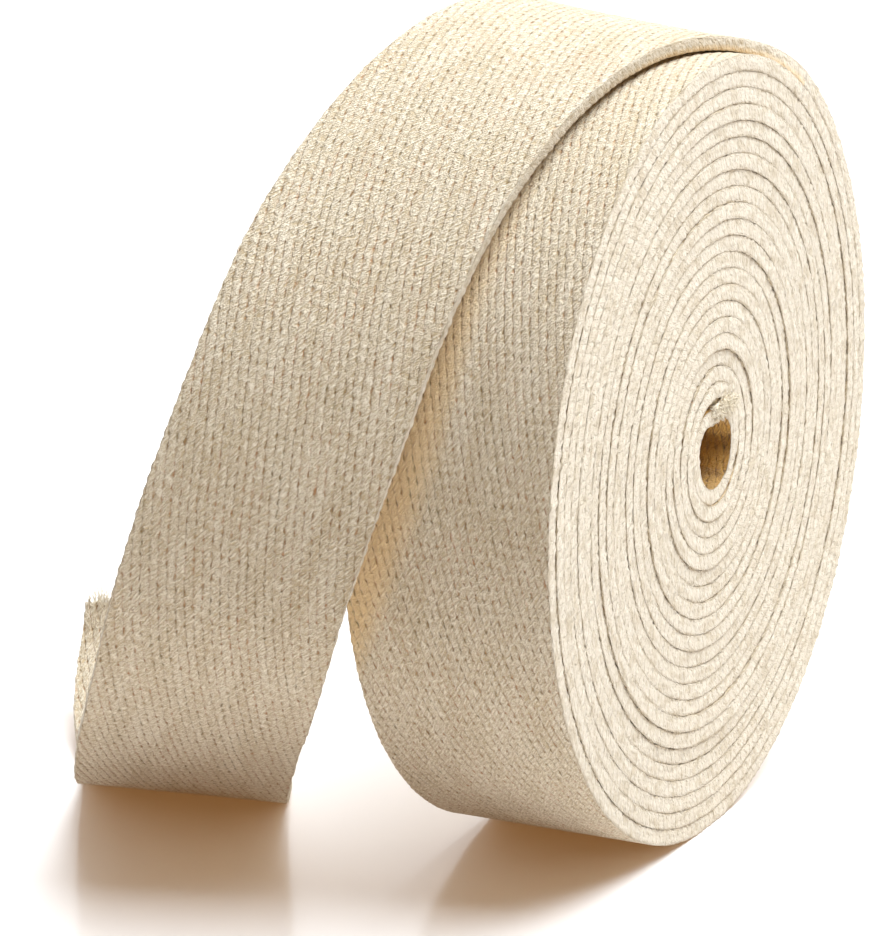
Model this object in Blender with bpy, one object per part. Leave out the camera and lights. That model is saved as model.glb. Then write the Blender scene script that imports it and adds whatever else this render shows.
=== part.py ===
# Roll of woven cotton webbing with its outer end hanging loose.
# Metres, +Z up. The roll's axis runs along Y, and the origin is the middle of the flat spot it stands on.

from collections import namedtuple
from math import cos, pi, radians, sin

import bmesh
import bpy
import numpy as np
from mathutils import Vector

# The strip
STRIP_WIDTH = 0.038
STRIP_THICKNESS = 0.0025
SELVEDGE_ROUND = 0.0009
PIECE_GAP = 0.0003

# The winding, measured outwards from the axis
TURN_PITCH = 0.002855
TURN_RADIUS = 0.066 + TURN_PITCH
AXIS_HEIGHT = 0.070
OUTER_END_ANGLE = -0.6
RIM_STEPS = 168

# The hole in the middle, narrowed above and at one side by the strip's slack inner end
HOLE_RADIUS = 0.0064
HOLE_X = -0.0008
HOLE_Z = AXIS_HEIGHT - 0.0020

# The loose end: middle of the strip at each section, and its turn about its own length in degrees.
# It leaves the roll near the top, falls beside it, touches the surface and curls up behind.
Section = namedtuple("Section", "x y z turn")
LOOSE_END = (
    Section(0.0210, 0.0025, 0.1385, 1),
    Section(-0.0040, 0.0075, 0.1435, 3),
    Section(-0.0290, 0.0120, 0.1385, 5),
    Section(-0.0510, 0.0165, 0.1255, 9),
    Section(-0.0675, 0.0200, 0.1090, 14),
    Section(-0.0770, 0.0235, 0.0915, 17),
    Section(-0.0820, 0.0285, 0.0735, 18),
    Section(-0.0815, 0.0350, 0.0550, 17),
    Section(-0.0740, 0.0430, 0.0385, 15),
    Section(-0.0620, 0.0525, 0.0245, 12),
    Section(-0.0480, 0.0615, 0.0130, 8),
    Section(-0.0335, 0.0695, 0.0045, 4),
    Section(-0.0190, 0.0765, STRIP_THICKNESS / 2, -2),
    Section(-0.0075, 0.0840, 0.0030, -7),
    Section(0.0030, 0.0905, 0.0085, -10),
    Section(0.0095, 0.0935, 0.0145, -7),
    Section(0.0135, 0.0950, 0.0220, -3),
)
LEAD_IN_ANGLES = (OUTER_END_ANGLE - 0.30, OUTER_END_ANGLE - 0.15, OUTER_END_ANGLE)
SECTION_STEP = 0.0042

CREAM = (0.78, 0.68, 0.52, 1.0)
CREAM_LOOSE = (0.80, 0.71, 0.56, 1.0)


def make_material(name, colour):
    material = bpy.data.materials.new(name)
    material.use_nodes = True
    shader = material.node_tree.nodes["Principled BSDF"]
    shader.inputs["Base Color"].default_value = colour
    shader.inputs["Roughness"].default_value = 0.92
    shader.inputs["Metallic"].default_value = 0.0
    return material


def add_piece(name, bm, colour):
    bmesh.ops.recalc_face_normals(bm, faces=bm.faces)
    mesh = bpy.data.meshes.new(name)
    bm.to_mesh(mesh)
    bm.free()
    mesh.shade_smooth()
    mesh.set_sharp_from_angle(angle=radians(35))
    piece = bpy.data.objects.new(name, mesh)
    piece.data.materials.append(make_material(name + "_cloth", colour))
    bpy.context.scene.collection.objects.link(piece)
    return piece


def winding_radius(angle):
    # Outer surface of the wound strip; the angle runs from the top towards -X
    return TURN_RADIUS + TURN_PITCH * angle / (2 * pi)


def rim_point(angle, radius, y):
    return Vector((-radius * sin(angle), y, max(0.0, AXIS_HEIGHT + radius * cos(angle))))


def build_wound_roll():
    bm = bmesh.new()
    half = STRIP_WIDTH / 2
    angles = [OUTER_END_ANGLE + 2 * pi * i / RIM_STEPS for i in range(RIM_STEPS + 1)]

    # The outer surface with its two rounded edges: one row of points for each distance along Y
    inset = SELVEDGE_ROUND
    rows = []
    for y, drop in ((-half, inset), (-half + inset, 0.0), (half - inset, 0.0), (half, inset)):
        rows.append([bm.verts.new(rim_point(a, winding_radius(a) - drop, y)) for a in angles])
    for low, high in zip(rows, rows[1:]):
        for i in range(RIM_STEPS):
            bm.faces.new((low[i], low[i + 1], high[i + 1], high[i]))

    # The step where the outermost turn's end stands clear of the turn below it
    first = [row[0] for row in rows]
    last = [row[-1] for row in rows]
    bm.faces.new(first + last[::-1])

    # The hole's wall and the two flat faces
    rings = []
    for y in (-half, half):
        rings.append([bm.verts.new((HOLE_X - HOLE_RADIUS * sin(a), y, HOLE_Z + HOLE_RADIUS * cos(a)))
                      for a in angles[:-1]])
    for i in range(RIM_STEPS):
        after = (i + 1) % RIM_STEPS
        bm.faces.new((rings[0][i], rings[0][after], rings[1][after], rings[1][i]))
        for row, ring in ((rows[0], rings[0]), (rows[-1], rings[1])):
            bm.faces.new((row[i], row[i + 1], ring[after], ring[i]))
    for row, ring in ((rows[0], rings[0]), (rows[-1], rings[1])):
        bm.faces.new((row[0], row[-1], ring[0]))
    bmesh.ops.triangulate(bm, faces=bm.faces)
    return add_piece("wound_roll", bm, CREAM)


def natural_spline(rows, places):
    # Smooth curve through rows of x, y, z and turn, read at distances along it
    rows = np.array(rows)
    knots = np.concatenate(([0.0], np.cumsum(np.linalg.norm(np.diff(rows[:, :3], axis=0), axis=1))))
    gaps = np.diff(knots)
    count = len(rows)
    matrix = np.eye(count)
    bends = np.zeros_like(rows)
    slopes = np.diff(rows, axis=0) / gaps[:, None]
    for i in range(1, count - 1):
        matrix[i, i - 1:i + 2] = gaps[i - 1], 2 * (gaps[i - 1] + gaps[i]), gaps[i]
        bends[i] = 6 * (slopes[i] - slopes[i - 1])
    bends = np.linalg.solve(matrix, bends)
    points = []
    for place in places(knots):
        i = min(max(int(np.searchsorted(knots, place, side="right")) - 1, 0), count - 2)
        x = place - knots[i]
        start = slopes[i] - gaps[i] * (2 * bends[i] + bends[i + 1]) / 6
        points.append(rows[i] + x * (start + x * (bends[i] / 2 + x * (bends[i + 1] - bends[i]) / (6 * gaps[i]))))
    return np.array(points)


def section_outline():
    # The strip's cross-section: distance across and distance outwards, round at both selvedges
    half, skin = STRIP_WIDTH / 2, STRIP_THICKNESS / 2
    corner = []
    for step in range(3):
        turn = radians(45 * step)
        corner.append((half - SELVEDGE_ROUND * (1 - cos(turn)), skin - SELVEDGE_ROUND * (1 - sin(turn))))
    quarter = [(0.0, skin), (half / 2, skin)] + corner[::-1]
    right = quarter + [(across, -out) for across, out in reversed(quarter)]
    return right + [(-across, out) for across, out in reversed(right[1:-1])]


def build_loose_end():
    # The first rows follow the winding, so that the loose end carries on from the roll's outermost turn
    rows = []
    for angle in LEAD_IN_ANGLES:
        radius = winding_radius(angle) + TURN_PITCH - STRIP_THICKNESS / 2
        rows.append(Section(-radius * sin(angle), 0.0, AXIS_HEIGHT + radius * cos(angle), 0.0))
    rows += LOOSE_END

    def places(knots):
        start = knots[len(LEAD_IN_ANGLES) - 1] + PIECE_GAP
        return np.linspace(start, knots[-1], round((knots[-1] - start) / SECTION_STEP) + 1)

    sections = [Section(*row) for row in natural_spline(rows, places)]
    middles = [Vector((section.x, section.y, section.z)) for section in sections]
    outline = section_outline()
    bm = bmesh.new()
    loops = []
    for i, middle in enumerate(middles):
        ahead = middles[min(i + 1, len(middles) - 1)]
        behind = middles[max(i - 1, 0)]
        along = ahead - behind
        if i == 0:
            along.y = 0.0  # square to the winding, face to face with the step
        along.normalize()
        across = Vector((0, 1, 0)) - along * along.y
        across.normalize()
        turn = radians(sections[i].turn)
        across = cos(turn) * across + sin(turn) * across.cross(along)
        outwards = across.cross(along)
        loop = []
        for side, out in outline:
            point = middle + across * side + outwards * out
            point.z = max(point.z, 0.0)
            loop.append(bm.verts.new(point))
        loops.append(loop)
    count = len(outline)
    for low, high in zip(loops, loops[1:]):
        for j in range(count):
            after = (j + 1) % count
            bm.faces.new((low[j], low[after], high[after], high[j]))
    bm.faces.new(loops[0])
    bm.faces.new(loops[-1])
    bmesh.ops.triangulate(bm, faces=bm.faces)
    return add_piece("loose_end", bm, CREAM_LOOSE)


for old in list(bpy.data.objects):
    bpy.data.objects.remove(old, do_unlink=True)

build_wound_roll()
build_loose_end()
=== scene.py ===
import math

import bmesh
import bpy
import numpy as np
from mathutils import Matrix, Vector, noise


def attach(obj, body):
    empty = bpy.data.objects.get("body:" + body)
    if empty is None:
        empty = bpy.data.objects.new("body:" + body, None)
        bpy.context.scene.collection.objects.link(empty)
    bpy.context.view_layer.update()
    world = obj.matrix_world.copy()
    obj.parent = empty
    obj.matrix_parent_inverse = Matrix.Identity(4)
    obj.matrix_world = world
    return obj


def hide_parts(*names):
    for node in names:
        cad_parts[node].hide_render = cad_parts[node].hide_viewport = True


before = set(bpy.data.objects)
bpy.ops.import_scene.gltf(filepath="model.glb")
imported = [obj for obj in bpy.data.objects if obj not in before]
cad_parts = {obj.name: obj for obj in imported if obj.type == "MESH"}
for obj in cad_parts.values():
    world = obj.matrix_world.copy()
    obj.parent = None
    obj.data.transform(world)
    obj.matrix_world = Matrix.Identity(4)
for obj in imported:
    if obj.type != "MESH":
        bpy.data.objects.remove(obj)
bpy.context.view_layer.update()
print("frame loaded,", len(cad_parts), "nodes to dress")

# The strip, in metres. It is wound from its inner end outwards; angles run from the top towards -X.
strip = {
    "width": 0.038,
    "thickness": 0.0025,
    "endGap": 0.0005137,  # from one warp yarn to the next
    "pickGap": 0.002029,  # from one weft row to the next
    "ribYarns": 3,  # warp yarns in a twill rib
    "axisHeight": 0.070,
    "turnPitch": 0.002855,
    "turnRadius": 0.068855,  # outer surface where the angle is 0
    "innerTurns": -21.38,  # where the inner end is, in turns
    "seamAngle": 2 * math.pi - 0.6,  # where the loose end leaves the roll
    "slack": 0.0021,  # how far the inner end sags towards the hole
    "slackTurn": -21.0,
    "slackReach": 0.10,
    "steadyTurn": -0.1,  # from here outwards the edges keep in line
}

# how the wound strip strays sideways: each wave's height in metres, its pace along the angle, and its start
sways = [(0.00013, 0.83, 1.0), (0.00010, 1.71, 0.0), (0.00008, 0.37, 0.0)]

# Middle of the loose end at each section, in metres, and its turn about its own length in degrees
looseEnd = [
    (0.0210, 0.0025, 0.1380, 4),
    (-0.0040, 0.0075, 0.1430, 7),
    (-0.0290, 0.0120, 0.1383, 7),
    (-0.0510, 0.0165, 0.1255, 9),
    (-0.0675, 0.0200, 0.1090, 14),
    (-0.0770, 0.0235, 0.0915, 17),
    (-0.0820, 0.0285, 0.0735, 18),
    (-0.0815, 0.0350, 0.0550, 17),
    (-0.0740, 0.0430, 0.0385, 15),
    (-0.0620, 0.0525, 0.0245, 12),
    (-0.0480, 0.0615, 0.0130, 8),
    (-0.0335, 0.0695, 0.0045, 4),
    (-0.0190, 0.0765, strip["thickness"] / 2, -2),
    (-0.0075, 0.0840, 0.0030, -7),
    (0.0030, 0.0905, 0.0085, -10),
    (0.0095, 0.0935, 0.0145, -7),
    (0.0135, 0.0950, 0.0220, -3),
]

route = {
    "step": 0.0004,  # between the points of the path
    "evening": 12,  # points each way over which the heading is evened out
    "leadIn": (0.30, 0.15, 0.0),  # radians before the seam, where the loose end's curve starts
}


def fade(value, start, reach):
    # 0 up to the start, 1 from reach beyond it
    return np.clip((value - start) / reach, 0, 1)


def eased(share):
    return share * share * (3 - 2 * share)


def splineThrough(rows, first, gap):
    # natural cubic spline through the rows, read every gap metres from just after row number first
    rows = np.array(rows)
    knots = np.concatenate(([0.0], np.cumsum(np.linalg.norm(np.diff(rows[:, :3], axis=0), axis=1))))
    gaps = np.diff(knots)
    slopes = np.diff(rows, axis=0) / gaps[:, None]
    count = len(rows)
    matrix = np.eye(count)
    bends = np.zeros_like(rows)
    for i in range(1, count - 1):
        matrix[i, i - 1:i + 2] = gaps[i - 1], 2 * (gaps[i - 1] + gaps[i]), gaps[i]
        bends[i] = 6 * (slopes[i] - slopes[i - 1])
    bends = np.linalg.solve(matrix, bends)
    places = np.arange(knots[first] + gap, knots[-1], gap)
    i = np.clip(np.searchsorted(knots, places, side="right") - 1, 0, count - 2)
    x = (places - knots[i])[:, None]
    wide = gaps[i][:, None]
    start = slopes[i] - wide * (2 * bends[i] + bends[i + 1]) / 6
    return rows[i] + x * (start + x * (bends[i] / 2 + x * (bends[i + 1] - bends[i]) / (6 * wide)))


def woundPoint(angle):
    # middle of the wound strip: a spiral, with each turn a little off line and the inner end slack
    turns = angle / (2 * math.pi)
    radius = strip["turnRadius"] + strip["turnPitch"] * turns - strip["thickness"] / 2
    radius = radius - strip["slack"] * np.exp(-((turns - strip["slackTurn"]) / strip["slackReach"]) ** 2)
    side = sum(height * np.sin(angle * pace + start) for height, pace, start in sways)
    side = side * np.clip(strip["steadyTurn"] - turns, 0, 1)
    x = -radius * np.sin(angle)
    z = radius * np.cos(angle) + strip["axisHeight"]
    return np.stack([x, side, z, np.zeros_like(angle)], axis=1)


def buildPath():
    # the strip's whole length: at each point its middle, the way across it and the way out of the roll
    angles = [strip["innerTurns"] * 2 * math.pi]
    while angles[-1] < strip["seamAngle"]:
        radius = strip["turnRadius"] + strip["turnPitch"] * angles[-1] / (2 * math.pi)
        angles.append(angles[-1] + route["step"] / radius)
    angles[-1] = strip["seamAngle"]
    wound = woundPoint(np.array(angles))
    leadIn = woundPoint(strip["seamAngle"] - np.array(route["leadIn"]))
    loose = splineThrough(np.vstack([leadIn, np.array(looseEnd)]), len(leadIn) - 1, route["step"])
    rows = np.vstack([wound, loose])
    middle = rows[:, :3]
    along = np.gradient(middle, axis=0)
    reach = route["evening"]
    soften = np.hanning(2 * reach + 1)
    padded = np.vstack([along[:1].repeat(reach, 0), along, along[-1:].repeat(reach, 0)])
    along = np.stack([np.convolve(padded[:, k], soften, "valid") for k in range(3)], axis=1)
    along /= np.linalg.norm(along, axis=1)[:, None]
    level = np.array([0.0, 1.0, 0.0]) - along * along[:, 1:2]
    level /= np.linalg.norm(level, axis=1)[:, None]
    turn = np.radians(rows[:, 3])[:, None]
    across = np.cos(turn) * level + np.sin(turn) * np.cross(level, along)
    outward = np.cross(across, along)
    distance = np.concatenate(([0.0], np.cumsum(np.linalg.norm(np.diff(middle, axis=0), axis=1))))
    seam = distance[len(wound) - 1]
    lastTurn = np.interp(strip["seamAngle"] - 2 * math.pi, angles, distance[:len(wound)])
    return {"distance": distance, "middle": middle, "across": across, "outward": outward,
            "seam": seam, "lastTurn": lastTurn, "length": distance[-1]}


path = buildPath()
print("strip length", round(path["length"], 3), "seam", round(path["seam"], 3),
      "outer turn", round(path["lastTurn"], 3))


def pathAt(key, places):
    # one of the path's rows of vectors, read at distances along it
    return np.stack([np.interp(places, path["distance"], path[key][:, k]) for k in range(3)], axis=1)


relief = {
    "valleyDepth": 0.00011,  # of the slanting furrows between the twill ribs
    "valleyWidth": 0.13,  # as a share of a rib
    "edgeDepth": 0.00024,  # how far in the selvedge starts to round
    "pressedEdge": 0.00012,  # the same, where turns press on each other
    "edgeAngles": (84, 62, 34, 0, -34, -62, -84),  # of the columns round a selvedge, in degrees
    "cheek": 0.4,  # the selvedge's roundness across and up; lower is squarer
    "crown": 0.75,
    "bulge": 0.00030,  # weft loops standing out at the selvedge
    "bulgeLean": 0.30,
    "loopFullness": 0.7,  # lower is plumper
    "loopUnevenness": 0.45,
    "loopLevel": 0.75,  # the part of a loop that lies inside the selvedge's mean line
    "swell": 0.12,  # of the loops up and down, as a share of the half thickness
    "overlap": 0.32,  # how far the swell leans outwards, so that the turns' edges touch but for notches
    "cornerSwell": 0.25,  # share of the swell left where the selvedge meets the flat side
    "swellStart": 0.0176,  # how far across it still reaches on the flat side
    "creaseNarrowness": 5.0,
    "pressedGap": 0.00002,  # left between two wound turns
    "loosening": 0.030,  # over how long the strip springs back to its own thickness
    "cutThickness": 0.04,  # share left where the inner end was cut
    "cutTaper": 0.018,
    "cutLift": 0.00025,  # how far that end is bent outwards
    "cutLiftReach": 0.005,
}


def furrow(ends, picks):
    # 1 in the furrow between two twill ribs, which climbs one warp yarn for each pick
    phase = (ends - picks) / strip["ribYarns"] - 0.5 / strip["ribYarns"]
    off = np.abs(phase - np.round(phase))
    return np.exp(-(off / relief["valleyWidth"]) ** 2)


unevenness = np.random.default_rng(11).uniform(-1, 1, 6000)


def uneven(places):
    # smooth random run along the strip, from -1 to 1
    low = np.floor(places).astype(int)
    part = eased(places - low)
    count = len(unevenness)
    return unevenness[low % count] * (1 - part) + unevenness[(low + 1) % count] * part


def weftLoop(place):
    # one bulge of a weft loop for each pick, with a narrow notch between
    loop = np.abs(np.sin(math.pi * place)) ** relief["loopFullness"]
    return loop * (1 + relief["loopUnevenness"] * uneven(place + 0.5))


def sectionPlan(outerColumns, innerColumns, edgeDepth):
    # a row for each column round the section: whether it is on the edge, how far across it is, its share of
    # the half thickness, its angle on the edge, and the number of its warp yarn
    flat = strip["width"] / 2 - edgeDepth
    end = strip["endGap"]
    arc = edgeDepth + strip["thickness"]
    edgeAngles = np.radians(relief["edgeAngles"])

    def edgeColumn(side, angle, yarn):
        out = flat + edgeDepth * math.cos(angle) ** relief["cheek"]
        up = np.sign(angle) * abs(math.sin(angle)) ** relief["crown"]
        return (1.0, side * out, up, angle, yarn)

    plan = []
    for across in np.linspace(flat, -flat, outerColumns):
        plan.append((0.0, across, 1.0, 0.0, -across / end))
    for angle in edgeAngles:
        run = (0.5 - angle / math.pi) * arc
        plan.append(edgeColumn(-1, angle, (flat + run) / end))
    for across in np.linspace(-flat, flat, innerColumns):
        plan.append((0.0, across, -1.0, 0.0, (2 * flat + arc + across) / end))
    for angle in -edgeAngles:
        run = (angle / math.pi + 0.5) * arc
        plan.append(edgeColumn(1, angle, (3 * flat + arc + run) / end))
    return np.array(plan), (4 * flat + 2 * arc) / end


# where warm light that the cloth throws back is painted on it, and amber shade in the hole, in metres, and
# in radians from the top
nooks = {
    "fallStart": 0.005,  # the loose end counts as beside the roll from here after the seam
    "fallFoot": 0.012,  # and down to this height
    "top": -0.55,
    "topFade": 0.1,
    "foot": 2.75,
    "footFade": 0.4,
    "spread": 0.0056,  # how far the warm light reaches past the loose end's edge, lower down
    "spreadStart": 0.40,
    "spreadFade": 1.00,
    "edgeFade": 0.0046,
    "holeRadius": 0.0118,
    "holeFade": 0.003,
    "underGlow": 0.4,  # painted warm light on the loose end's inner side, near the seam
    "underReach": 0.07,
    "underFade": 0.03,
}


def besideLooseEnd(points):
    # mask for painted warm light: 0.5 on the roll's outer surface behind the falling end, and lower down
    # also just beyond its edge
    falling = path["distance"] > path["seam"] + nooks["fallStart"]
    falling = falling & (path["middle"][:, 2] > nooks["fallFoot"])
    rim = path["middle"][falling] - strip["width"] / 2 * path["across"][falling]
    rimAngle = np.maximum.accumulate(np.arctan2(-rim[:, 0], rim[:, 2] - strip["axisHeight"]))
    angle = np.arctan2(-points[:, 0], points[:, 2] - strip["axisHeight"])
    edge = np.interp(angle, rimAngle, rim[:, 1])
    spread = nooks["spread"] * fade(angle, nooks["spreadStart"], nooks["spreadFade"])
    behind = fade(points[:, 1] - edge + spread, 0.0, nooks["edgeFade"])
    below = fade(angle, nooks["top"], nooks["topFade"])
    above = fade(-angle, -nooks["foot"], nooks["footFade"])
    return 0.5 * behind * below * above


def insideHole(points):
    # mask for painted amber shade: 1 on the hole's wall, 0 on the rest of the roll but the innermost turns
    radius = np.hypot(points[:, 0], points[:, 2] - strip["axisHeight"])
    return fade(-radius, -nooks["holeRadius"], nooks["holeFade"])


def stripSkin(places):
    # half thickness at each place, and how far outwards the cloth's middle lies from the path there
    skin = strip["thickness"] / 2
    pressed = (strip["turnPitch"] - relief["pressedGap"]) / 2
    springing = eased(fade(places, path["seam"], relief["loosening"]))
    thick = pressed + (skin - pressed) * springing
    centre = (skin - pressed) * (1 - springing)
    thinned = thick * np.clip(relief["cutThickness"] + places / relief["cutTaper"], 0, 1)
    lift = relief["cutLift"] * np.clip(1 - places / relief["cutLiftReach"], 0, 1)
    return thinned, centre + thick - thinned + lift


def stripPoints(plan, places, picks):
    # points round the section at each place, with the furrows and the weft loops
    onEdge = plan[:, 0] > 0.5
    side = np.sign(plan[:, 1])
    endGrid, pickGrid = np.meshgrid(plan[:, 4], picks)
    lean = relief["bulgeLean"] * np.where(onEdge, plan[:, 3] * side, 0.0) / (math.pi / 2)
    halfPick = np.where(side > 0, 0.5, 0.0)  # the loops of the two selvedges take turns
    bump = weftLoop(pickGrid + (lean + halfPick)) - relief["loopLevel"]
    outSwell = np.where(onEdge, np.cos(plan[:, 3]) ** relief["cheek"], 0.0)
    corner = relief["cornerSwell"]
    upSwell = np.where(onEdge, corner + (1 - corner) * np.cos(plan[:, 3]), 0.0) * relief["swell"]
    nearEdge = np.abs(plan[:, 1]) > relief["swellStart"]
    upSwell = np.where(nearEdge, np.maximum(upSwell, corner * relief["swell"]), upSwell)
    sink = np.where(onEdge, 0.0, relief["valleyDepth"] * furrow(endGrid, pickGrid))
    thick, centre = stripSkin(places)
    wide = plan[:, 1] + side * relief["bulge"] * bump * outSwell
    height = thick[:, None] * plan[:, 2] * (1 + upSwell * (bump + relief["overlap"]))
    height = height - sink * np.sign(plan[:, 2]) + centre[:, None]
    points = pathAt("middle", places)[:, None, :] + pathAt("across", places)[:, None, :] * wide[:, :, None]
    points = points + pathAt("outward", places)[:, None, :] * height[:, :, None]
    points[:, :, 2] = np.maximum(points[:, :, 2], 0.0)
    return points


def addWeaveMap(mesh, plan, around, picks):
    # map that counts warp yarns round the strip and picks along it: its sides, then its two cut ends
    shape = (len(picks) - 1, len(plan))
    ends = np.append(plan[:, 4], around + plan[0, 4])
    u0, u1 = (np.broadcast_to(run, shape) for run in (ends[:-1], ends[1:]))
    v0, v1 = (np.broadcast_to(run[:, None], shape) for run in (picks[:-1], picks[1:]))
    corners = [np.stack(pair, -1) for pair in ((u0, v0), (u0, v1), (u1, v1), (u1, v0))]
    sides = np.stack(corners, axis=2).reshape(-1, 2)
    first = np.stack([plan[:, 4], np.full(len(plan), picks[0])], -1)
    last = np.stack([plan[::-1, 4], np.full(len(plan), picks[-1])], -1)
    layer = mesh.uv_layers.new(name="weave")
    layer.data.foreach_set("uv", np.vstack([sides, first, last]).astype(np.float32).ravel())


def addMask(mesh, name, values):
    layer = mesh.attributes.new(name, "FLOAT", "POINT")
    layer.data.foreach_set("value", values.astype(np.float32))


def placePiece(name, mesh, material):
    mesh.shade_smooth()
    mesh.materials.append(material)
    piece = bpy.data.objects.new(name, mesh)
    bpy.context.scene.collection.objects.link(piece)
    return piece


def sweepStrip(name, start, stop, rowGap, outerColumns, innerColumns, material, shelter=None, underGlow=0.0):
    edgeDepth = relief["pressedEdge" if outerColumns < 3 else "edgeDepth"]
    plan, around = sectionPlan(outerColumns, innerColumns, edgeDepth)
    rows = max(2, int(round((stop - start) / rowGap)) + 1)
    columns = len(plan)
    places = np.linspace(start, stop, rows)
    picks = places / strip["pickGap"]
    points = stripPoints(plan, places, picks)
    grid = np.arange(rows * columns).reshape(rows, columns)
    after = np.roll(grid, -1, axis=1)
    quads = np.stack([grid[:-1], grid[1:], after[1:], after[:-1]], axis=-1).reshape(-1, 4)
    faces = quads.tolist() + [grid[0].tolist(), grid[-1][::-1].tolist()]
    mesh = bpy.data.meshes.new(name)
    mesh.from_pydata(points.reshape(-1, 3).tolist(), [], faces)
    addWeaveMap(mesh, plan, around, picks)

    # masks for the material: the selvedge, the lines where turns meet, which get painted shade, and the
    # nook, where warm light and amber shade are painted
    addMask(mesh, "selvedge", np.tile(plan[:, 0], rows))
    addMask(mesh, "crease", np.tile(np.abs(np.sin(plan[:, 3])) ** relief["creaseNarrowness"], rows))
    # painted warm light on the loose end's inner side near the seam
    nearSeam = fade(-places, -(path["seam"] + nooks["underReach"]), nooks["underFade"])
    nook = (underGlow * nearSeam[:, None] * (plan[:, 2] < 0)).ravel()
    # painted warm light beside the loose end, or painted amber shade in the hole, off the selvedge
    if shelter:
        nook = nook + shelter(points.reshape(-1, 3)) * np.tile(1 - plan[:, 0], rows)
    addMask(mesh, "nook", nook)
    piece = placePiece(name, mesh, material)
    mesh.validate()
    print(name, rows, "rows", 2 * len(quads), "triangles")
    return piece


strand = {
    "steps": 6,
    "bend": 1.6,
    "curl": 0.6,
    "curlWaves": 5,
    "taper": 0.75,
    "corners": (0.0, 2.094, 4.189),  # thirds of a turn
    "lowest": 0.0001,
    "lumpScale": 2.6,
    "lumpHeight": 0.30,
    "fineScale": 3.1,
    "fineHeight": 0.16,
}


def fluffCore(centre, size, seed):
    # lump of matted fibres: a rounded body with an uneven surface
    body = bmesh.new()
    bmesh.ops.create_icosphere(body, subdivisions=4, radius=1.0)
    points = []
    for corner in body.verts:
        place = corner.co * strand["lumpScale"] + Vector((seed, 0.0, 0.0))
        swell = 1 + strand["lumpHeight"] * noise.noise(place)
        swell = swell + strand["fineHeight"] * noise.noise(place * strand["fineScale"])
        points.append(tuple(np.array(centre) + np.array(corner.co) * swell * size))
    faces = [tuple(corner.index for corner in face.verts) for face in body.faces]
    body.free()
    return points, faces


def joined(first, second):
    # two lumps as one list of points and one of faces
    base = len(first[0])
    moved = [tuple(base + corner for corner in face) for face in second[1]]
    return first[0] + second[0], first[1] + moved


def strandMesh(name, roots, headings, lengths, widths, stray, material, seed, core=((), ())):
    # loose fibres: thin three-sided tapering threads, each bending its own way
    rng = np.random.default_rng(seed)
    steps = strand["steps"]
    points, faces = list(core[0]), list(core[1])
    for root, heading, length, width in zip(roots, headings, lengths, widths):
        heading = heading / np.linalg.norm(heading)
        bend = rng.normal(0, stray, 3)
        curl = rng.normal(0, stray * strand["curl"], 3)
        place = np.array(root, float)
        base = len(points)
        for k in range(steps + 1):
            share = k / steps
            aim = heading + bend * share * strand["bend"] + curl * math.sin(share * strand["curlWaves"])
            aim /= np.linalg.norm(aim)
            side = np.cross(aim, (0.31, 0.57, 0.76))
            side /= np.linalg.norm(side)
            lift = np.cross(aim, side)
            radius = width * (1 - strand["taper"] * share)
            for turn in strand["corners"]:
                spot = place + radius * (math.cos(turn) * side + math.sin(turn) * lift)
                points.append((spot[0], spot[1], max(spot[2], strand["lowest"])))
            place = place + aim * length / steps
        for k in range(steps):
            for j in range(3):
                after = (j + 1) % 3
                low, high = base + 3 * k, base + 3 * k + 3
                faces.append((low + j, low + after, high + after, high + j))
        faces.append((base + 2, base + 1, base))
        top = base + 3 * steps
        faces.append((top, top + 1, top + 2))
    mesh = bpy.data.meshes.new(name)
    mesh.from_pydata(points, [], faces)
    print(name, len(roots), "threads", 2 * len(faces), "triangles")
    return placePiece(name, mesh, material)


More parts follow.
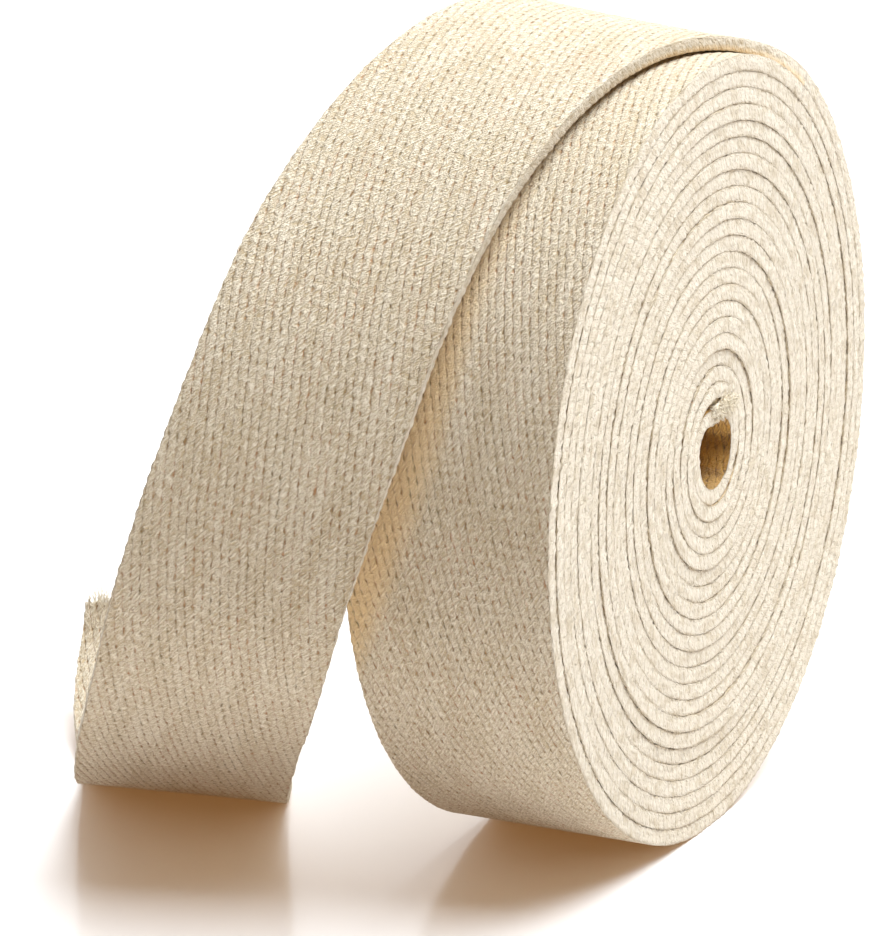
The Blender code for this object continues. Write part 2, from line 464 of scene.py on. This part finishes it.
class NodeDesk:
    # lays out shader nodes in a tree and wires them by socket
    def __init__(self, tree):
        self.tree = tree
        self.count = 0

    def add(self, kind, **settings):
        node = self.tree.nodes.new(kind)
        node.location = (self.count % 12 * 180, -(self.count // 12) * 220)
        self.count += 1
        for key, value in settings.items():
            setattr(node, key, value)
        return node

    def plug(self, source, socket):
        if isinstance(source, (int, float, tuple)):
            socket.default_value = source
        else:
            self.tree.links.new(source, socket)

    def maths(self, operation, first, second=None, clamp=False):
        node = self.add("ShaderNodeMath", operation=operation, use_clamp=clamp)
        self.plug(first, node.inputs[0])
        if second is not None:
            self.plug(second, node.inputs[1])
        return node.outputs[0]

    def times(self, first, second, clamp=False):
        return self.maths("MULTIPLY", first, second, clamp)

    def plus(self, first, second, clamp=False):
        return self.maths("ADD", first, second, clamp)

    def minus(self, first, second, clamp=False):
        return self.maths("SUBTRACT", first, second, clamp)

    def bell(self, value):
        # 1 at 0, falling away on both sides
        return self.maths("POWER", 2.718, self.times(self.times(value, value), -1.0))

    def offWhole(self, value):
        # how far the value is from the nearest whole number
        return self.minus(value, self.maths("ROUND", value))

    def centred(self, value, size):
        # a 0 to 1 noise turned into one about 0
        return self.times(self.minus(value, 0.5), size)

    def noise(self, vector, scale, detail=2.0, rough=0.5):
        # the scale is one number, or one for each direction
        if isinstance(scale, tuple):
            vector, scale = self.stretch(vector, scale), 1.0
        node = self.add("ShaderNodeTexNoise")
        self.plug(vector, node.inputs["Vector"])
        node.inputs["Scale"].default_value = scale
        node.inputs["Detail"].default_value = detail
        node.inputs["Roughness"].default_value = rough
        return node.outputs["Fac"]

    def patches(self, vector, scale, level, contrast, detail=1.0, rough=0.5):
        # 1 where a noise is well above the level, 0 below it
        value = self.noise(vector, scale, detail, rough)
        return self.times(self.minus(value, level), contrast, clamp=True)

    def mixColour(self, share, first, second):
        node = self.add("ShaderNodeMix", data_type="RGBA")
        self.plug(share, node.inputs[0])
        self.plug(first, node.inputs[6])
        self.plug(second, node.inputs[7])
        return node.outputs[2]

    def stretch(self, vector, scale, turn=(0.0, 0.0, 0.0)):
        node = self.add("ShaderNodeMapping")
        self.plug(vector, node.inputs["Vector"])
        node.inputs["Scale"].default_value = scale
        node.inputs["Rotation"].default_value = turn
        return node.outputs[0]


# the twill's relief and shading; scales count warp yarns and picks, but for grain and fibres millimetres
weave = {
    "wander": 1.5,  # how far the ribs stray, in warp yarns
    "wanderScale": (0.50, 0.55, 1.0),
    "drift": 1.0,  # how far the rows of pits stray, in picks
    "driftScale": (0.7, 1.3, 1.0),
    "ribFullness": 0.6,  # lower is plumper
    "ribHeight": 0.26,
    "furrowWidth": 0.058,  # as a share of a rib
    "furrowDepth": 0.24,
    "pitWiden": 0.092,  # what a pit adds to its furrow
    "pitDeepen": 0.76,
    "pitLength": 0.25,  # as a share of a pick
    "pitHeight": 0.62,
    "patchScale": (0.55, 0.9, 1.0),  # patches without pits
    "patchLevel": 0.22,
    "patchContrast": 2.5,
    "yarnTurn": -0.56,  # slant of the twisted yarns
    "grainScale": (2.9, 0.75, 1.0),
    "grainContrast": 2.6,
    "fibreScale": (5.5, 2.6, 1.0),
    "fibreContrast": 2.0,
    "grainHeight": 0.60,
    "grainOnSelvedge": 0.26,  # how much lower the grain is there
    "plyScale": (0.85, 1.1, 1.0),
    "plyContrast": 2.5,
    "loopSlant": 0.17,
    "loopFullness": 0.6,
    "loopHeight": 0.50,
    # flecks of painted shade on the selvedge
    "fleckScale": (0.55, 0.50, 1.0),
    "fleckLevel": 0.50,
    "fleckContrast": 6.5,
    "fleckShade": 0.55,
    "fleckCrease": 0.45,  # what the line between two turns adds to a fleck
}


def weaveGroup():
    # warp-faced twill on a map whose u counts warp yarns and v counts picks
    tree = bpy.data.node_groups.new("twillWeave", "ShaderNodeTree")
    tree.interface.new_socket("Map", in_out="INPUT", socket_type="NodeSocketVector")
    tree.interface.new_socket("Selvedge", in_out="INPUT", socket_type="NodeSocketFloat")
    tree.interface.new_socket("Crease", in_out="INPUT", socket_type="NodeSocketFloat")
    for name in ("Height", "Pit", "Fleck", "Grain"):
        tree.interface.new_socket(name, in_out="OUTPUT", socket_type="NodeSocketFloat")
    desk = NodeDesk(tree)
    inside = desk.add("NodeGroupInput")
    outside = desk.add("NodeGroupOutput")
    weaveMap, selvedge = inside.outputs["Map"], inside.outputs["Selvedge"]
    split = desk.add("ShaderNodeSeparateXYZ")
    desk.plug(weaveMap, split.inputs[0])
    wander = desk.centred(desk.noise(weaveMap, weave["wanderScale"]), weave["wander"])
    drift = desk.centred(desk.noise(weaveMap, weave["driftScale"], 1.0), weave["drift"])
    u = desk.plus(split.outputs[0], wander)
    v = desk.plus(split.outputs[1], drift)
    flat = desk.minus(1.0, selvedge)

    # narrow furrows between plump ribs, with a pit at each pick
    slant = desk.maths("DIVIDE", desk.minus(u, v), strip["ribYarns"])
    off = desk.maths("ABSOLUTE", desk.offWhole(desk.minus(slant, 0.5 / strip["ribYarns"])))
    rib = desk.maths("POWER", desk.times(off, 2.0), weave["ribFullness"])
    along = desk.bell(desk.maths("DIVIDE", desk.offWhole(v), weave["pitLength"]))
    width = desk.plus(weave["furrowWidth"], desk.times(along, weave["pitWiden"]))
    across = desk.bell(desk.maths("DIVIDE", off, width))
    pit = desk.times(desk.plus(weave["furrowDepth"], desk.times(along, weave["pitDeepen"])), across)
    patch = desk.patches(weaveMap, weave["patchScale"], weave["patchLevel"], weave["patchContrast"])
    pit = desk.times(desk.times(pit, patch), flat)

    # twisted yarns: short slanting grains with finer fibres over them, on a map in millimetres
    yarnScale = (1000 * strip["endGap"], 1000 * strip["pickGap"], 1.0)
    plane = desk.stretch(weaveMap, yarnScale, (0.0, 0.0, weave["yarnTurn"]))
    grain = desk.centred(desk.noise(plane, weave["grainScale"], 1.0), weave["grainContrast"])
    fuzz = desk.centred(desk.noise(plane, weave["fibreScale"], 1.0), weave["fibreContrast"])
    grain = desk.plus(desk.plus(grain, fuzz), 0.5, clamp=True)

    # weft loops round the selvedge, and flecks of painted shade over it, darker where two turns meet
    plies = desk.centred(desk.noise(weaveMap, weave["plyScale"], 1.0), weave["plyContrast"])
    loop = desk.times(desk.plus(v, desk.times(u, weave["loopSlant"])), 3.1416)
    loop = desk.maths("POWER", desk.maths("ABSOLUTE", desk.maths("SINE", loop)), weave["loopFullness"])
    loop = desk.times(desk.plus(loop, plies), selvedge)
    spot = desk.patches(weaveMap, weave["fleckScale"], weave["fleckLevel"], weave["fleckContrast"])
    fleck = desk.plus(weave["fleckShade"], desk.times(inside.outputs["Crease"], weave["fleckCrease"]))
    fleck = desk.times(desk.times(spot, fleck), selvedge)

    height = desk.times(desk.times(rib, flat), weave["ribHeight"])
    height = desk.minus(height, desk.times(pit, weave["pitHeight"]))
    coarse = desk.minus(weave["grainHeight"], desk.times(selvedge, weave["grainOnSelvedge"]))
    height = desk.plus(height, desk.times(grain, coarse))
    height = desk.plus(height, desk.times(loop, weave["loopHeight"]))
    desk.plug(height, outside.inputs["Height"])
    desk.plug(pit, outside.inputs["Pit"])
    desk.plug(fleck, outside.inputs["Fleck"])
    desk.plug(grain, outside.inputs["Grain"])
    return tree


cloth = {
    "light": (0.94, 0.835, 0.655, 1.0),
    "warm": (0.63, 0.49, 0.30, 1.0),
    "edge": (0.83, 0.75, 0.62, 1.0),
    # painted shade in the lines where two turns meet
    "crease": (0.62, 0.46, 0.27, 1.0),
    # painted shade in the twill's furrows and pits, olive in places and warmer in others
    "olivePitShade": (0.30, 0.19, 0.05, 1.0),
    "warmPitShade": (0.52, 0.24, 0.08, 1.0),
    # painted shade in flecks on the selvedge
    "fleck": (0.54, 0.42, 0.25, 1.0),
    # painted warm light thrown back by the cloth
    "glow": (0.98, 0.70, 0.36, 1.0),
    # painted amber shade inside the hole
    "hole": (0.74, 0.42, 0.10, 1.0),
    "edgeShare": 0.60,
    "creaseShare": 0.62,
    "pitShare": 0.95,
    "fleckShare": 0.75,
    "glowShare": 0.75,
    "holeShare": 0.95,
    "mottle": 0.9,
    "mottleScale": (0.16, 0.10, 1.0),
    "edgeCalm": 0.4,  # how much weaker the grain's shade is on the selvedge
    "tintScale": (0.10, 0.16, 1.0),  # where the painted shade in the pits is warmer
    "tintLevel": 0.38,
    "breakScale": (0.12, 0.30, 1.0),  # where the painted shade between two turns shows
    "breakLevel": 0.36,
    "contrast": 4.0,
    "bumpHeight": 0.00042,
    "roughness": 0.93,
    "specular": 0.25,
    "sheen": 0.22,
    "sheenRoughness": 0.55,
}


def clothMaterial(group):
    material = bpy.data.materials.new("undyedWebbing")
    material.use_nodes = True
    tree = material.node_tree
    shader = tree.nodes["Principled BSDF"]
    desk = NodeDesk(tree)
    weaveMap = desk.add("ShaderNodeUVMap", uv_map="weave").outputs[0]
    twill = desk.add("ShaderNodeGroup", node_tree=group)
    desk.plug(weaveMap, twill.inputs["Map"])
    masks = {}
    for name in ("selvedge", "crease", "nook"):
        masks[name] = desk.add("ShaderNodeAttribute", attribute_name=name).outputs["Fac"]
    desk.plug(masks["selvedge"], twill.inputs["Selvedge"])
    desk.plug(masks["crease"], twill.inputs["Crease"])
    mottle = desk.centred(desk.noise(weaveMap, cloth["mottleScale"]), cloth["mottle"])
    shade = desk.minus(0.5, twill.outputs["Grain"])
    shade = desk.times(shade, desk.minus(1.0, desk.times(masks["selvedge"], cloth["edgeCalm"])))
    shade = desk.plus(desk.plus(shade, 0.5), mottle, clamp=True)
    tint = desk.patches(weaveMap, cloth["tintScale"], cloth["tintLevel"], cloth["contrast"], 2.0, 0.6)
    broken = desk.patches(weaveMap, cloth["breakScale"], cloth["breakLevel"], cloth["contrast"], 2.0)
    layers = {
        "edge": masks["selvedge"],
        # painted shade where turns meet
        "crease": desk.times(broken, masks["crease"]),
        "fleck": twill.outputs["Fleck"],
        # painted warm light, full strength from a nook value of 0.5
        "glow": desk.times(masks["nook"], 2.0, clamp=True),
        # painted amber shade, from a nook value of 0.5 up to 1
        "hole": desk.minus(desk.times(masks["nook"], 2.0), 1.0, clamp=True),
    }
    colour = desk.mixColour(shade, cloth["light"], cloth["warm"])
    for name, mask in layers.items():
        colour = desk.mixColour(desk.times(mask, cloth[name + "Share"]), colour, cloth[name])
    # painted shade darkens the furrows and pits
    pitColour = desk.mixColour(tint, cloth["olivePitShade"], cloth["warmPitShade"])
    colour = desk.mixColour(desk.times(twill.outputs["Pit"], cloth["pitShare"]), colour, pitColour)
    desk.plug(colour, shader.inputs["Base Color"])
    bump = desk.add("ShaderNodeBump")
    bump.inputs["Distance"].default_value = cloth["bumpHeight"]
    bump.inputs["Strength"].default_value = 1.0
    desk.plug(twill.outputs["Height"], bump.inputs["Height"])
    desk.plug(bump.outputs[0], shader.inputs["Normal"])
    shader.inputs["Roughness"].default_value = cloth["roughness"]
    shader.inputs["Specular IOR Level"].default_value = cloth["specular"]
    shader.inputs["Sheen Weight"].default_value = cloth["sheen"]
    shader.inputs["Sheen Roughness"].default_value = cloth["sheenRoughness"]
    return material


fibres = {
    "light": (0.90, 0.82, 0.67, 1.0),
    "dark": (0.80, 0.70, 0.53, 1.0),
    "patchScale": 900.0,
    "roughness": 0.9,
    "specular": 0.2,
    "sheen": 0.3,
}


def threadMaterial():
    material = bpy.data.materials.new("looseFibre")
    material.use_nodes = True
    shader = material.node_tree.nodes["Principled BSDF"]
    desk = NodeDesk(material.node_tree)
    place = desk.add("ShaderNodeTexCoord")
    patch = desk.noise(place.outputs["Object"], fibres["patchScale"])
    desk.plug(desk.mixColour(patch, fibres["light"], fibres["dark"]), shader.inputs["Base Color"])
    shader.inputs["Roughness"].default_value = fibres["roughness"]
    shader.inputs["Specular IOR Level"].default_value = fibres["specular"]
    shader.inputs["Sheen Weight"].default_value = fibres["sheen"]
    return material


fray = {
    "threads": 420,
    "shortest": 0.0012,
    "length": 0.0042,
    "lengthShares": (0.35, 1.0),
    "lengthSkew": 1.4,  # higher makes long threads rarer
    "width": 0.00014,
    "rootDepth": 0.0012,  # how far inside the cut the threads start
    "sideInset": 0.0006,
    "layer": 0.0010,  # how far from the strip's middle plane they start at most
    "fan": 0.0022,  # at this distance from it they lean outwards by as much as they run on
    "sideSpread": 0.22,
    "outSpread": 0.30,
    "stray": 0.35,
    "fluff": 260,
    "fluffReach": 0.010,  # how far back from the cut the yarns have opened
    "fluffSkew": 1.6,
    "fluffHeight": 0.00118,  # just under the strip's skin
    "fluffSpread": 0.45,
    "fluffLengths": (0.0012, 0.0030),
    "fluffThinness": 0.9,
}


def frayedEnd(material):
    # warp yarns standing loose from the cut free end, and fluff over its last centimetre
    rng = np.random.default_rng(21)
    middle, across, outward = (path[key][-1] for key in ("middle", "across", "outward"))
    along = np.cross(outward, across)
    half = strip["width"] / 2 - fray["sideInset"]
    count = fray["threads"]
    sides = rng.uniform(-half, half, count)
    heights = rng.uniform(-fray["layer"], fray["layer"], count)
    roots = middle + sides[:, None] * across + heights[:, None] * outward - along * fray["rootDepth"]
    sideways = rng.normal(0, fray["sideSpread"], (count, 1))
    outwards = rng.normal(0, fray["outSpread"], (count, 1)) + heights[:, None] / fray["fan"]
    headings = along + sideways * across + outwards * outward
    shares = rng.uniform(*fray["lengthShares"], count)
    lengths = fray["shortest"] + fray["length"] * shares ** fray["lengthSkew"]
    widths = np.full(count, fray["width"])

    count = fray["fluff"]
    back = path["length"] - fray["fluffReach"] * rng.uniform(0, 1, count) ** fray["fluffSkew"]
    face = np.where(rng.uniform(0, 1, count) < 0.5, -1.0, 1.0)[:, None]
    fluffRoots = pathAt("middle", back) + rng.uniform(-half, half, (count, 1)) * pathAt("across", back)
    fluffRoots = fluffRoots + face * fray["fluffHeight"] * pathAt("outward", back)
    sideways = rng.normal(0, fray["fluffSpread"], (count, 1))
    outwards = face * rng.uniform(0.0, fray["fluffSpread"], (count, 1))
    fluffHeadings = along + sideways * across + outwards * outward
    fluffLengths = rng.uniform(*fray["fluffLengths"], count)
    fluffWidths = np.full(count, fray["width"] * fray["fluffThinness"])
    return strandMesh("frayed_end", np.vstack([roots, fluffRoots]), np.vstack([headings, fluffHeadings]),
                      np.append(lengths, fluffLengths), np.append(widths, fluffWidths),
                      fray["stray"], material, 22)


tuft = {
    "threads": 420,
    "width": 0.00018,
    "place": (0.0036, -0.0190, 0.0766),
    "size": (0.0052, 0.0009, 0.0015),
    "rootShare": 0.95,
    "headings": (0.6, 0.5, 0.6),
    "spread": 0.55,
    "lengths": (0.0006, 0.0015),
    "stray": 0.6,
    "deepPlace": (0.0002, -0.0154, 0.0783),  # fluff set back between the slack end and the turn above it
    "deepSize": (0.0062, 0.0030, 0.0020),
}


def innerTuft(material):
    # the cut inner end, frayed into a pale tuft over the hole
    rng = np.random.default_rng(31)
    count = tuft["threads"]
    rays = rng.normal(0, 1, (count, 3))
    rays /= np.linalg.norm(rays, axis=1)[:, None]
    rays[:, 1] = -np.abs(rays[:, 1])
    roots = np.array(tuft["place"]) + rays * tuft["size"] * tuft["rootShare"]
    headings = rays * tuft["headings"] + rng.normal(0, tuft["spread"], (count, 3))
    lengths = rng.uniform(*tuft["lengths"], count)
    widths = np.full(count, tuft["width"])
    core = joined(fluffCore(tuft["place"], tuft["size"], 5.0),
                  fluffCore(tuft["deepPlace"], tuft["deepSize"], 9.0))
    return strandMesh("inner_tuft", roots, headings, lengths, widths, tuft["stray"], material, 32, core)


meshing = {
    "flatColumns": 106,  # across a side whose furrows show
    "backColumns": 24,  # across the loose end's inner side
    "plainColumns": 2,  # across a side that is hidden
    "woundRow": 0.00093,
    "outerRow": 0.00055,
    "looseRow": 0.00050,
}

webbing = clothMaterial(weaveGroup())
fibre = threadMaterial()
turns = sweepStrip("wound_turns", 0.0, path["lastTurn"], meshing["woundRow"],
                   meshing["plainColumns"], meshing["plainColumns"], webbing, insideHole)
outer = sweepStrip("outer_turn", path["lastTurn"], path["seam"], meshing["outerRow"],
                   meshing["flatColumns"], meshing["plainColumns"], webbing, besideLooseEnd)
loose = sweepStrip("loose_strip", path["seam"], path["length"], meshing["looseRow"],
                   meshing["flatColumns"], meshing["backColumns"], webbing, underGlow=nooks["underGlow"])
frayed = frayedEnd(fibre)
inner = innerTuft(fibre)

for piece, node in ((turns, "wound_roll"), (outer, "wound_roll"), (inner, "wound_roll"),
                    (loose, "loose_end"), (frayed, "loose_end")):
    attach(piece, "root")
    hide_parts(node)


studio = {
    "cameraPlace": (-0.851215, -0.376891, 0.336846),
    "cameraTurn": (73.652, 0.0, -64.288),
    "lens": 211.54,
    "sensor": 36.0,
    "nearest": 0.05,
    "frontSky": (0.100, 0.058, 0.026, 1.0),
    "backSky": (1.25, 1.25, 1.25, 1.0),
    "backHeading": (0.90, 0.40, 0.15),
    "skyStart": 0.2,
    "skyFade": 0.5,
    "floor": (0.93, 0.93, 0.925, 1.0),
    "floorSize": 8.0,
    "floorHeight": -0.0001,
    "floorRoughness": 0.16,
    "floorSpecular": 0.5,
    "floorGlow": (1.0, 0.49, 0.18, 1.0),  # painted warm light: the glossy white sheet glows orange so that the shadows on it turn warm
    "floorGlowPower": 0.115,
}

# name, place, what it points at, size, power and tint
lamps = [
    ("overhead", (0.12, -0.35, 1.25), (0.0, 0.0, 0.07), 1.0, 31.0, (0.93, 0.99, 1.05)),
    ("leftSide", (-0.45, 1.00, 0.50), (0.0, 0.09, 0.02), 0.7, 0.5, (1.0, 0.97, 0.90)),
]


def buildSky():
    world = bpy.data.worlds.new("studio")
    bpy.context.scene.world = world
    world.use_nodes = True
    desk = NodeDesk(world.node_tree)
    heading = desk.add("ShaderNodeVectorMath", operation="DOT_PRODUCT")
    desk.plug(desk.add("ShaderNodeTexCoord").outputs["Generated"], heading.inputs[0])
    desk.plug(studio["backHeading"], heading.inputs[1])
    share = desk.minus(heading.outputs["Value"], studio["skyStart"])
    share = desk.maths("DIVIDE", share, studio["skyFade"], clamp=True)
    sky = desk.mixColour(share, studio["frontSky"], studio["backSky"])
    desk.plug(sky, world.node_tree.nodes["Background"].inputs["Color"])


def buildFloor():
    bpy.ops.mesh.primitive_plane_add(size=studio["floorSize"], location=(0.0, 0.0, studio["floorHeight"]))
    floor = bpy.context.object
    floor.name = "floor"
    material = bpy.data.materials.new("glossyWhite")
    material.use_nodes = True
    shader = material.node_tree.nodes["Principled BSDF"]
    shader.inputs["Base Color"].default_value = studio["floor"]
    shader.inputs["Roughness"].default_value = studio["floorRoughness"]
    shader.inputs["Specular IOR Level"].default_value = studio["floorSpecular"]
    # painted warm glow that lifts and warms the floor's shadows
    shader.inputs["Emission Color"].default_value = studio["floorGlow"]
    shader.inputs["Emission Strength"].default_value = studio["floorGlowPower"]
    floor.data.materials.append(material)


def buildLamps():
    for name, place, aim, size, power, tint in lamps:
        lamp = bpy.data.lights.new(name, "AREA")
        lamp.shape = "SQUARE"
        lamp.size = size
        lamp.energy = power
        lamp.color = tint
        light = bpy.data.objects.new(name, lamp)
        bpy.context.scene.collection.objects.link(light)
        light.location = place
        back = np.array(place) - np.array(aim)
        light.rotation_euler = (math.atan2(math.hypot(back[0], back[1]), back[2]), 0.0,
                                math.atan2(back[0], -back[1]))


def buildCamera():
    lens = bpy.data.cameras.new("view")
    lens.lens = studio["lens"]
    lens.sensor_width = studio["sensor"]
    lens.clip_start = studio["nearest"]
    view = bpy.data.objects.new("view", lens)
    bpy.context.scene.collection.objects.link(view)
    view.location = studio["cameraPlace"]
    view.rotation_euler = [math.radians(turn) for turn in studio["cameraTurn"]]
    bpy.context.scene.camera = view
    bpy.context.scene.view_settings.view_transform = "Standard"
    bpy.context.scene.view_settings.look = "None"


buildSky()
buildFloor()
buildLamps()
buildCamera()
print("studio ready")
